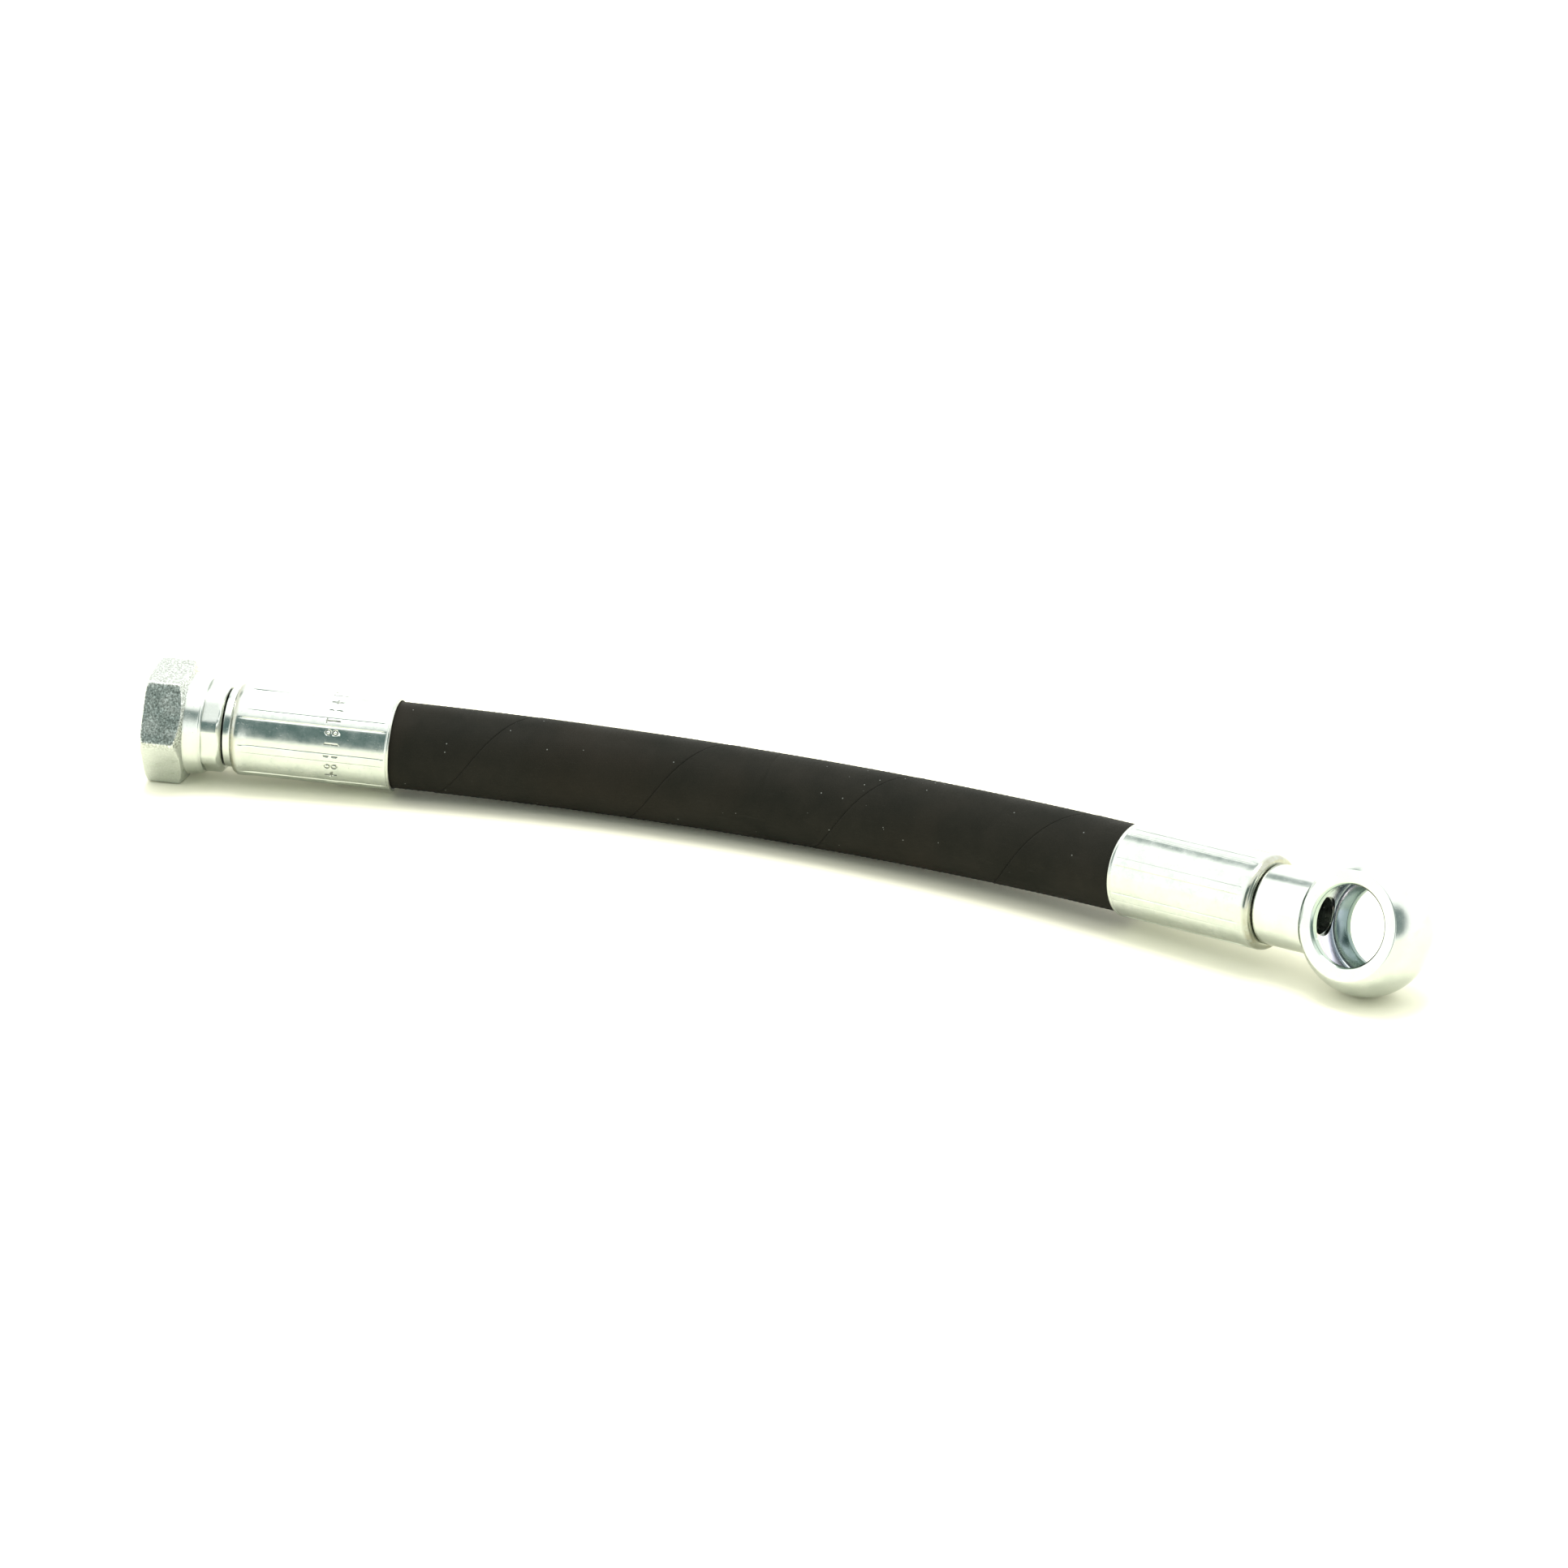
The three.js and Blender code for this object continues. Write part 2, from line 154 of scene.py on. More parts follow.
def loft(name, angles, s, r, place, slots=None, twist=0.0, sharp=32):
    """A closed ring-shaped body: the outline (s, r) repeated at each angle. r may change with the angle."""
    angles = np.asarray(angles, float)
    s = np.broadcast_to(np.asarray(s, float), (len(angles), np.shape(s)[-1]))
    r = np.broadcast_to(np.asarray(r, float), s.shape)
    n, m = s.shape
    points = place(angles, s, r) * MM
    i, j = np.meshgrid(np.arange(n), np.arange(m), indexing="ij")
    corner = [(i, j), (i, j + 1), (i + 1, j + 1), (i + 1, j)]
    quads = np.stack([(a % n) * m + b % m for a, b in corner], -1).reshape(-1, 4)
    turns = np.append(angles, angles[0] + TURN) / TURN
    along = np.concatenate([s, s[:1]])
    along = np.concatenate([along, along[:, :1]], 1) * MM
    lead = np.concatenate([twist + 0 * s, (twist + 0 * s)[:1]])
    lead = np.concatenate([lead, lead[:, :1]], 1) / TURN
    uv = np.stack([np.stack([along[a, b], turns[a] + lead[a, b]], -1) for a, b in corner], -2)
    uv = uv.reshape(-1, 4, 2)
    p = points.reshape(-1, 3)
    a, b, c, d = (p[quads[:, k]] for k in range(4))
    volume = np.einsum("ij,ij->", a, np.cross(b, c)) + np.einsum("ij,ij->", a, np.cross(c, d))
    if volume < 0:
        quads, uv = quads[:, ::-1], uv[:, ::-1]
    made = add_mesh(name, p, quads.tolist(), sharp)
    layer = made.data.uv_layers.new(name="route")
    layer.data.foreach_set("uv", np.ascontiguousarray(uv, np.float32).ravel())
    if slots is not None:
        strip = np.broadcast_to(np.asarray(slots), (n, m)).ravel()
        made.data.polygons.foreach_set("material_index", strip.astype(np.int32))
    return made


def rounded(outline, steps=4):
    """A closed outline of (s, r, fillet) with each filleted corner replaced by a curve."""
    made = []
    for k, (s, r, fillet) in enumerate(outline):
        here = np.array((s, r), float)
        before = np.array(outline[k - 1][:2], float) - here
        after = np.array(outline[(k + 1) % len(outline)][:2], float) - here
        if not fillet:
            made.append(here)
            continue
        reach = min(fillet, 0.45 * np.linalg.norm(before), 0.45 * np.linalg.norm(after))
        start = here + before / np.linalg.norm(before) * reach
        end = here + after / np.linalg.norm(after) * reach
        for t in np.linspace(0, 1, steps):
            made.append((1 - t) ** 2 * start + 2 * t * (1 - t) * here + t * t * end)
    made = np.array(made)
    return made[:, 0], made[:, 1]


def about(matrix):
    """The placing function of a body turned about the X axis of matrix."""
    return lambda angles, s, r: around(angles, s, r, matrix)


def turned(name, outline, matrix, count=128):
    s, r = rounded(outline)
    return loft(name, np.arange(count) * TURN / count, s, r, about(matrix))


def smooth_min(a, b, blend):
    h = np.clip(0.5 + 0.5 * (b - a) / blend, 0, 1)
    return b + (a - b) * h - blend * h * (1 - h)


def smooth_max(a, b, blend):
    return -smooth_min(-np.asarray(a, float), -np.asarray(b, float), blend)


def flats(theta, across, sides, corner_round):
    """Radius of a regular prism with softened corners."""
    step = TURN / sides
    offset = (theta + step / 2) % step - step / 2
    return smooth_min(
        across / 2 / np.cos(offset),
        across / 2 / math.cos(step / 2) - corner_round + 0 * theta,
        0.25,
    )


def smoothstep(x):
    x = np.clip(x, 0, 1)
    return x * x * (3 - 2 * x)


# ---- materials ----

class Nodes:
    """The node tree of a material or of the world, with short calls to add and join nodes."""

    def __init__(self, owner):
        owner.use_nodes = True
        self.owner = owner
        self.tree = owner.node_tree

    def add(self, kind, values=None, **settings):
        made = self.tree.nodes.new("ShaderNode" + kind)
        for key, value in settings.items():
            setattr(made, key, value)
        for key, value in (values or {}).items():
            self.set(made.inputs[key], value)
        return made

    def set(self, socket, value):
        if isinstance(value, bpy.types.NodeSocket):
            self.tree.links.new(value, socket)
        else:
            socket.default_value = value

    def shade(self, **values):
        shader = self.tree.nodes["Principled BSDF"]
        for key, value in values.items():
            self.set(shader.inputs[key.replace("_", " ")], value)

    def math(self, operation, *values):
        made = self.add("Math", operation=operation)
        for socket, value in zip(made.inputs, values):
            self.set(socket, value)
        return made.outputs[0]

    def noise(self, vector, scale, detail=3.0, rough=0.55):
        values = {"Vector": vector, "Scale": scale, "Detail": detail, "Roughness": rough}
        return self.add("TexNoise", values).outputs["Fac"]

    def span(self, value, low, high, to_low, to_high, smooth=False):
        made = self.add("MapRange", interpolation_type="SMOOTHSTEP" if smooth else "LINEAR")
        for socket, number in zip(made.inputs, (value, low, high, to_low, to_high)):
            self.set(socket, number)
        return made.outputs["Result"]

    def mix(self, factor, a, b):
        made = self.add("Mix", data_type="RGBA")
        for socket, value in zip((made.inputs[0], made.inputs[6], made.inputs[7]), (factor, a, b)):
            self.set(socket, value)
        return made.outputs[2]

    def ramp(self, value, stops):
        made = self.add("ValToRGB", {"Fac": value})
        ends = made.color_ramp.elements
        ends[0].position, ends[0].color = stops[0][0], (*stops[0][1], 1)
        ends[1].position, ends[1].color = stops[-1][0], (*stops[-1][1], 1)
        for position, colour in stops[1:-1]:
            ends.new(position).color = (*colour, 1)
        return made.outputs["Color"]

    def bump(self, height, strength, distance, normal=None):
        values = {"Height": height, "Strength": strength, "Distance": distance}
        if normal is not None:
            values["Normal"] = normal
        return self.add("Bump", values).outputs["Normal"]

    def object_place(self):
        return self.add("TexCoord").outputs["Object"]

    def route_place(self, radius):
        """The place along and round the piece, at that radius, then its two parts: metres and turns."""
        parts = self.add("SeparateXYZ", {"Vector": self.add("UVMap", uv_map="route").outputs["UV"]})
        angle = self.math("MULTIPLY", parts.outputs["Y"], TURN)
        across = self.math("MULTIPLY", self.math("COSINE", angle), radius)
        up = self.math("MULTIPLY", self.math("SINE", angle), radius)
        place = self.add("CombineXYZ", {"X": parts.outputs["X"], "Y": across, "Z": up})
        return place.outputs["Vector"], parts.outputs["X"], parts.outputs["Y"]


def new_material(name):
    return Nodes(bpy.data.materials.new(name))


def zinc(name, grain=0.0, rough=0.2, turned_lines=0.3, painted_bore_light=False, lip=False):
    """Bright zinc plate: slight clouding, turning lines, fine scratches, brighter worn edges.

    grain adds grain, with painted shade on the upper side and painted glints; the bore option paints
    reflection and shade in bands along a bore; the lip option paints shade on a ferrule's two ends; hollows
    get painted shade.
    """
    m = new_material(name)
    place = m.object_place()
    cloud = m.noise(place, 260, 4, 0.6)
    fine = m.noise(place, 1900, 3, 0.6)
    speck = m.noise(place, 2700 if grain else 5200, 3, 0.7)
    scratch_place = m.add("Mapping", {"Vector": place, "Scale": (900, 5200, 3800),
                                      "Rotation": (0.5, 0.35, 0.8)}).outputs["Vector"]
    scratch = m.span(m.noise(scratch_place, 1.0, 2, 0.5), 0.66, 0.74, 0, 1)
    _, along, _ = m.route_place(9 * MM)
    lines_place = m.add("CombineXYZ", {"X": along}).outputs["Vector"]
    lines = m.noise(lines_place, 5200, 2, 0.6)
    edge = m.span(m.add("NewGeometry").outputs["Pointiness"], 0.52, 0.60, 0, 1)
    # where the surface is hollow, for painted shade
    hollow_shade = m.span(m.add("NewGeometry").outputs["Pointiness"], 0.44, 0.49, 1, 0)

    colour = m.mix(m.span(cloud, 0.35, 0.7, 0, 1), (0.56, 0.60, 0.56, 1), (0.63, 0.66, 0.63, 1))
    if painted_bore_light:
        # painted reflections and painted shade in bands along the bore, with a painted green reflection
        # towards the top
        half = EYE_THICKNESS / 2 * MM
        band = m.math("ADD", m.span(along, half, -half, 0, 1), m.span(cloud, 0.3, 0.7, -0.02, 0.02))
        bore_light_bands = m.ramp(band, [
            (0.0, (0.36, 0.44, 0.38)), (0.13, (0.36, 0.44, 0.38)), (0.17, (0.56, 0.60, 0.50)),
            (0.25, (0.74, 0.56, 0.50)), (0.41, (0.74, 0.58, 0.62)), (0.432, (0.50, 0.44, 0.54)),
            (0.45, (0.68, 0.65, 0.82)), (0.57, (0.70, 0.70, 0.86)), (0.67, (0.60, 0.59, 0.75)),
            (0.76, (0.30, 0.36, 0.42)), (0.87, (0.11, 0.17, 0.165)), (1.0, (0.16, 0.23, 0.21)),
        ])
        up = m.add("SeparateXYZ", {"Vector": place}).outputs["Z"]
        top_green_reflection = m.math("MULTIPLY", m.span(up, 12 * MM, 18 * MM, 0, 0.85), m.span(band, 0.5, 0.75, 1, 0))
        colour = m.mix(0.92, colour, m.mix(top_green_reflection, bore_light_bands, (0.40, 0.50, 0.45, 1)))
    if lip:
        # painted shade on the rolled lip and, fainter, at the mouth
        rolled_in = m.span(along, (FERRULE_LENGTH - 1.5) * MM, (FERRULE_LENGTH - 0.7) * MM, 0, 0.8)
        mouth = m.span(along, 0.2 * MM, 0.6 * MM, 0.4, 0)
        lip_shade = m.math("MULTIPLY", m.math("MAXIMUM", rolled_in, mouth), m.span(cloud, 0.3, 0.6, 0.55, 1))
        colour = m.mix(lip_shade, colour, (0.30, 0.29, 0.21, 1))
        mottle = m.span(m.noise(place, 700, 4, 0.7), 0.5, 0.66, 0, 0.5)
        colour = m.mix(mottle, colour, (0.47, 0.52, 0.49, 1))
    if grain:
        # darker coarse specks and bright specks, strong on the upper side and faint underneath: real grain,
        # with painted shade on the upper side and painted glints
        up = m.span(m.add("SeparateXYZ", {"Vector": place}).outputs["Z"], 9.5 * MM, 11.3 * MM, 0.12, grain)
        grain_and_upper_shade = m.math("MULTIPLY", m.span(speck, 0.4, 0.56, 1, 0), up)
        colour = m.mix(grain_and_upper_shade, colour, (0.22, 0.235, 0.205, 1))
        painted_glint = m.math("MULTIPLY", m.span(speck, 0.56, 0.64, 0, 1), up)
        colour = m.mix(painted_glint, colour, (0.86, 0.92, 0.88, 1))
    colour = m.mix(m.math("MULTIPLY", scratch, 0.25), colour, (0.42, 0.46, 0.44, 1))
    # painted shade: hollows darkened
    colour = m.mix(m.math("MULTIPLY", hollow_shade, 0.55), colour, (0.24, 0.26, 0.22, 1))
    colour = m.mix(m.math("MULTIPLY", edge, 0.5), colour, (0.80, 0.82, 0.80, 1))

    roughness = m.span(cloud, 0.3, 0.7, rough - 0.05, rough + 0.07)
    roughness = m.math("ADD", roughness, m.math("MULTIPLY", scratch, 0.12))
    roughness = m.math("SUBTRACT", roughness, m.math("MULTIPLY", edge, 0.05))
    if grain:
        roughness = m.math("ADD", roughness, m.math("MULTIPLY", speck, 0.22 * grain))

    normal = m.bump(cloud, 0.5, 0.035 * MM)
    normal = m.bump(lines, turned_lines, 0.004 * MM, normal)
    normal = m.bump(fine, 0.35, (0.008 + 0.012 * grain) * MM, normal)
    normal = m.bump(speck, 0.25 + 0.7 * grain, (0.003 + 0.022 * grain) * MM, normal)
    normal = m.bump(scratch, 0.4, -0.004 * MM, normal)
    m.shade(Base_Color=colour, Metallic=1.0, Roughness=roughness, Normal=normal)
    return m.owner


def cover_rubber():
    """Black cover cured under a cloth wrap: fine weave print, brown and green bloom, dust."""
    m = new_material("cover_rubber")
    place, along, turns = m.route_place(HOSE_RADIUS * MM)
    cloud = m.noise(place, 90, 5, 0.65)
    drift = m.noise(place, 34, 3, 0.5)
    fine = m.noise(place, 1500, 3, 0.6)
    # the wrap's threads run along and square to its helix
    thread_spacing = 0.62 * MM
    arc = m.math("MULTIPLY", turns, TURN * HOSE_RADIUS * MM)
    weave = []
    for a, b in ((0.81, 0.59), (-0.59, 0.81)):
        across = m.math("ADD", m.math("MULTIPLY", along, a), m.math("MULTIPLY", arc, b))
        weave.append(m.math("SINE", m.math("MULTIPLY", across, TURN / thread_spacing)))
    cloth = m.math("MULTIPLY", *weave)
    cells = m.add("TexVoronoi", {"Vector": place, "Scale": 480.0}, feature="F1")
    pick = m.add("SeparateColor", {"Color": cells.outputs["Color"]}).outputs[0]
    dot = m.span(cells.outputs["Distance"], 0.045, 0.075, 1, 0)
    dust = m.math("MULTIPLY", dot, m.math("GREATER_THAN", pick, 0.6))
    scuff_place = m.add("Mapping", {"Vector": place, "Scale": (160, 1500, 1500)}).outputs["Vector"]
    scuff = m.span(m.noise(scuff_place, 1.0, 3, 0.6), 0.62, 0.78, 0, 1)

    colour = m.mix(m.span(cloud, 0.35, 0.68, 0, 1), (0.0112, 0.0115, 0.0089, 1),
                   (0.0163, 0.0155, 0.0121, 1))
    colour = m.mix(m.span(drift, 0.5, 0.75, 0, 0.6), colour, (0.0213, 0.0175, 0.0126, 1))
    colour = m.mix(m.math("MULTIPLY", scuff, 0.35), colour, (0.0245, 0.0236, 0.0201, 1))
    colour = m.mix(m.math("MULTIPLY", dust, 0.4), colour, (0.40, 0.42, 0.40, 1))
    roughness = m.span(cloud, 0.3, 0.7, 0.60, 0.48)
    normal = m.bump(cloth, 0.35, 0.012 * MM)
    normal = m.bump(fine, 0.4, 0.02 * MM, normal)
    normal = m.bump(cloud, 0.25, 0.15 * MM, normal)
    m.shade(Base_Color=colour, Roughness=roughness, Normal=normal, IOR=1.12)
    return m.owner


def tube_rubber(name, colour_a, colour_b):
    m = new_material(name)
    place, _, _ = m.route_place(6 * MM)
    cloud = m.noise(place, 240, 4, 0.6)
    fine = m.noise(place, 2400, 3, 0.6)
    m.shade(
        Base_Color=m.mix(cloud, (*colour_a, 1), (*colour_b, 1)),
        Roughness=m.span(cloud, 0.3, 0.7, 0.42, 0.62),
        Normal=m.bump(fine, 0.4, 0.015 * MM),
        IOR=1.42,
    )
    return m.owner


def braid_wire(radius):
    """Bundles of brass-washed steel wire crossing over and under each other."""
    m = new_material("braid_wire_%d" % round(radius * 10))
    place, along, turns = m.route_place(radius * MM)
    carriers = 12
    wires_each = 12.0
    lead = carriers * TURN / 2 * 0.7 / (TURN * radius * MM)
    turn_phase = m.math("MULTIPLY", turns, TURN * carriers)
    one = m.math("SINE", m.math("ADD", turn_phase, m.math("MULTIPLY", along, 2 * lead)))
    two = m.math("SINE", m.math("SUBTRACT", turn_phase, m.math("MULTIPLY", along, 2 * lead)))
    over = m.math("MAXIMUM", one, two)
    wires = m.math("SINE", m.math("MULTIPLY", m.math("ADD", one, two), wires_each))
    cloud = m.noise(place, 700, 3, 0.6)
    colour = m.mix(cloud, (0.44, 0.37, 0.23, 1), (0.62, 0.58, 0.48, 1))
    # painted shade where the bundles dip under each other
    colour = m.mix(m.span(over, -0.4, 0.4, 0.8, 0), colour, (0.09, 0.08, 0.06, 1))
    normal = m.bump(over, 0.7, 0.08 * MM)
    normal = m.bump(wires, 0.4, 0.02 * MM, normal)
    m.shade(Base_Color=colour, Metallic=1.0, Roughness=m.span(cloud, 0.3, 0.7, 0.3, 0.46),
            Normal=normal)
    return m.owner


ZINC = zinc("zinc_plate")
ZINC_GRAIN_AND_SHADE = zinc("zinc_plate_grain_and_painted_shade", grain=0.85, rough=0.22, turned_lines=0.1)
ZINC_FERRULE = zinc("zinc_plate_ferrule", lip=True)
ZINC_BORE_PAINTED_LIGHT = zinc("zinc_plate_bore_painted_light", rough=0.17, turned_lines=0.6, painted_bore_light=True)
COVER = cover_rubber()
TUBE = tube_rubber("tube_rubber", (0.010, 0.010, 0.011), (0.020, 0.020, 0.021))
FRICTION = tube_rubber("friction_rubber", (0.013, 0.012, 0.011), (0.030, 0.028, 0.025))
SEAL = tube_rubber("seal_rubber", (0.006, 0.006, 0.006), (0.014, 0.014, 0.014))


def finish_piece(piece, materials):
    for one in materials:
        piece.data.materials.append(one)


def rigid(piece, body, node, materials):
    finish_piece(piece, materials)
    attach(piece, body)
    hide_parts(node)


# ---- the hose: five layers, each in two halves that meet at its middle ----

WRAP_PITCH = 40.3
WRAP_START = 87.5
CREASE_DEPTH = 0.14
CREASE_HALF_WIDTH = 0.26
OVERLAP_STEP = 0.05
OVERLAP_FADE = 2.6
COARSE_GAP = 3.5
FINE_GAP = 0.4


def freedom(s):
    """1 between the ferrules, 0 where one of them grips the hose."""
    inside = np.maximum(COUPLING_LENGTH - s, s - HOSE_FAR)
    return smoothstep(1 - inside / CRIMP_TAPER)


def hose_radius(s, free, squeezed):
    return squeezed + (free - squeezed) * freedom(s)


def hose_place(angles, s, r):
    """Rings square to the centreline, each turned with the wrap's left-handed helix."""
    point, heading = centreline(s)
    side = np.stack([-heading[..., 1], heading[..., 0], 0 * heading[..., 0]], -1)
    theta = angles[:, None] + wrap_turn(s)
    local = point + r[..., None] * (
        np.cos(theta)[..., None] * side + np.sin(theta)[..., None] * np.array((0.0, 0.0, 1.0))
    )
    return local @ COUPLING[:3, :3].T + COUPLING[:3, 3]


def wrap_turn(s):
    return TURN * (WRAP_START - s) / WRAP_PITCH


def half_hose(name, start, end, radii, angles, crease, step):
    """A half of one layer: outside and bore from start to end, closed at both ends."""
    s = [start]
    for low, high, gap in (
        (HOSE_START, COUPLING_LENGTH - CRIMP_TAPER, COARSE_GAP),
        (COUPLING_LENGTH - CRIMP_TAPER, COUPLING_LENGTH, FINE_GAP),
        (COUPLING_LENGTH, HOSE_FAR, step),
        (HOSE_FAR, HOSE_FAR + CRIMP_TAPER, FINE_GAP),
        (HOSE_FAR + CRIMP_TAPER, HOSE_END, COARSE_GAP),
    ):
        low, high = max(low, start), min(high, end)
        if high > low:
            s.extend(np.linspace(low, high, max(1, round((high - low) / gap)) + 1)[1:])
    s = np.array(s)
    (free_in, free_out), (tight_in, tight_out) = radii
    outer = hose_radius(s, free_out, tight_out)[None, :] + 0 * angles[:, None]
    if crease is not None:
        outer = outer + crease(angles)[:, None] * freedom(s)[None, :]
    inner = hose_radius(s, free_in, tight_in)[None, :] + 0 * angles[:, None]
    outline_s = np.concatenate([s, s[::-1]])
    outline_r = np.concatenate([outer, inner[:, ::-1]], 1)
    return loft(name, angles, outline_s, outline_r, hose_place, twist=wrap_turn(outline_s))


def layer(name, radii, angles, material, slot, crease=None, step=4.0):
    """Both halves of a layer: one from the nut end to the middle, the other from the middle to the banjo
    end.
    """
    near = half_hose(name + "_near", HOSE_START, HOSE_MIDDLE, radii, angles, crease, step)
    far = half_hose(name + "_far", HOSE_MIDDLE, HOSE_END, radii, angles, crease, step)
    for half in (near, far):
        finish_piece(half, [material])
        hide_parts(name)
    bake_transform(near)
    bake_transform(far)
    return near, far


def wrap_crease(angles):
    """The overlap of the curing wrap leaves a thin crease with a faint step beside it."""
    offset = (angles + math.pi) % TURN - math.pi
    arc = offset * HOSE_RADIUS
    groove = -CREASE_DEPTH * np.exp(-((arc / CREASE_HALF_WIDTH) ** 2))
    step = OVERLAP_STEP * np.exp(-np.abs(arc) / OVERLAP_FADE) * np.sign(arc)
    return groove + step


crease_side = [0.5, 1.2, 2.1, 3.2, 4.6, 6.5, 9]
crease_angles = [-a for a in reversed(crease_side)] + [0] + crease_side
cover_angles = np.radians(np.concatenate([crease_angles, np.linspace(12.5, 347.5, 88)]))
# each layer: radii of its bore and outside, first free and then under a ferrule
cover_near, cover_far = layer(
    "hose_cover", [(7.6, HOSE_RADIUS), (6.9, 7.5)], cover_angles, COVER, "cover_rubber",
    wrap_crease, 1.25,
)
even = np.arange(48) * TURN / 48
layer("inner_tube", [(4.75, 5.95), (4.75, 5.55)], even, TUBE, "tube_rubber")
layer("inner_wire_braid", [(6.0, 6.55), (5.6, 6.05)], even, braid_wire(6.5), "braid_wire")
layer("friction_layer", [(6.6, 6.95), (6.1, 6.35)], even, FRICTION, "tube_rubber")
layer("outer_wire_braid", [(7.0, 7.55), (6.4, 6.85)], even, braid_wire(7.5), "braid_wire")

# ---- swivel nut ----

THREAD_PITCH = 1.5
THREAD_MINOR = 8.19
THREAD_MAJOR = 9.0
THREAD_END = 9.6
THREAD_RUNOUT = 0.9
SOCKET_RADIUS = 8.5
SOCKET_DEPTH = 11.3
SOCKET_ENTRY = 9.5
SEAT_LENGTH = 1.7
TAIL_BORE = 6.8
# where the hexagon's chamfers meet its two ends
FACE_RADIUS = 11.7
BACK_RADIUS = 10.4
# the flat ring of the nut's face
RING_OUTSIDE = 10.6
RING_INSIDE = 9.55
COLLAR_RADIUS = 10.3
COLLAR_TAPER = 0.45
COLLAR_EDGE = 0.35


def nut_outside(theta, s):
    slope = math.tan(math.pi / 6)
    chamfer = np.minimum(FACE_RADIUS + s / slope, BACK_RADIUS + (HEX_LENGTH - s) / slope)
    hexagon = smooth_min(flats(theta, HEX_FLATS, 6, 0.12), chamfer, 0.18)
    collar = COLLAR_RADIUS - COLLAR_TAPER * np.clip((s - HEX_LENGTH) / 3, 0, 1)
    collar = collar - COLLAR_EDGE * smoothstep((s - COLLAR_END + 0.6) / 0.6)
    tail = smooth_min(
        flats(theta - TAIL_ROLL, TAIL_FLATS, 8, 0.1),
        TAIL_FLATS / 2 + 0.35 - 1.1 * np.maximum(0, s - NUT_LENGTH + 0.9), 0.15,
    )
    outside = np.where(s <= HEX_LENGTH, smooth_max(hexagon, collar - 0.02, 0.08), collar)
    return np.where(s > COLLAR_END, tail, outside)


def nut_inside(theta, s):
    phase = (s / THREAD_PITCH - theta / TURN) % 1
    tooth = np.clip(2.3 * (1 - np.abs(2 * phase - 1)) - 0.6, 0, 1)
    thread = THREAD_MINOR + (THREAD_MAJOR - THREAD_MINOR) * tooth
    runout = smoothstep((s - THREAD_END + THREAD_RUNOUT) / THREAD_RUNOUT)
    thread = thread + (SOCKET_RADIUS - thread) * runout
    socket = np.maximum(thread, SOCKET_ENTRY - s)
    seat = SOCKET_RADIUS - (s - SOCKET_DEPTH) * (SOCKET_RADIUS - TAIL_BORE) / SEAT_LENGTH
    return np.where(s < SOCKET_DEPTH, socket, np.maximum(seat, TAIL_BORE))


def swivel_nut():
    # extra angles beside each corner of the hexagon and of the tail
    degrees = [*np.arange(0, 360, 2.5)]
    for first, apart, beside in ((30, 60, (0.6, 1.2)), (22.5 + math.degrees(TAIL_ROLL), 45, (0.5, 1))):
        for centre in np.arange(first, first + 360, apart):
            degrees += [centre + side * offset for offset in beside for side in (-1, 1)]
    angles = np.unique(np.round(np.radians(np.array(degrees) % 360), 5))
    hex_s = [
        0.03, 0.12, 0.25, 0.4, 0.6, 0.8, 1.0, 1.2, 1.45, 1.8, 2.4, 3.2,
        4.1, 5.0, 5.8, 6.4, 6.75, 7.0, 7.2, 7.4, 7.6, 7.8, 7.95, 8.07, 8.17, 8.2, 8.26,
    ]
    collar_s = [8.6, 9.5, 10.4, 11.0, 11.2, 11.3, 11.4, 11.5, 11.6, 11.7, 11.8]
    tail_s = [11.83, 12.1, 12.8, 13.8, 14.6, 14.9, 15.1, 15.3, 15.5, 15.68, 15.78, 15.8]
    out_s = np.array(hex_s + collar_s + tail_s)
    in_s = np.concatenate([
        [15.8, 15.7, 15.5, 14.5, 13.4, 13.0, 12.6, 12.0, 11.5, 11.3, 11.1, 10.4, 9.8],
        np.arange(9.6, 0.15, -THREAD_PITCH / 12), [0.1, 0.03],
    ])
    s = np.concatenate([[0.0], out_s, in_s, [0.0]])
    outside = nut_outside(angles[:, None], out_s[None, :])
    inside = nut_inside(angles[:, None], in_s[None, :])
    # the edges at the face and at the tail's end are broken
    outside[:, :2] -= np.array([0.12, 0.03])
    outside[:, -2:] -= np.array([0.04, 0.18])
    inside[:, :2] += np.array([0.25, 0.08])
    face = np.ones((len(angles), 1))
    r = np.concatenate([RING_OUTSIDE * face, outside, inside, RING_INSIDE * face], 1)
    slots = np.zeros(len(s), int)
    slots[1:len(hex_s)] = 1
    # the flats stand at right angles to the nut's rolled Z axis
    rolled = angles + NUT_ROLL + math.pi / 2
    return loft("swivel_nut_body", rolled, s, r, about(COUPLING), slots, sharp=24)


rigid(swivel_nut(), "swivel_nut", "swivel_nut", [ZINC, ZINC_GRAIN_AND_SHADE])

# ---- the barbed tails, the nipple with its sealing cone and O-ring, the banjo stem ----

BARBS = 4
BARB_PITCH = 5.4
BARB_RADIUS = 4.5
BARB_ROOT = 4.15
STOP_RADIUS = 6.9
HEAD_RADIUS = 7.8
HEAD_START = 10.5
CONE_RADIUS = 6.363
GROOVE = (7.0, 9.0)
GROOVE_RADIUS = 4.45
NIPPLE_START = 5.5
O_RING_CENTRE = 8.0
O_RING_RADIUS = 5.4
O_RING_CORD = 1.5


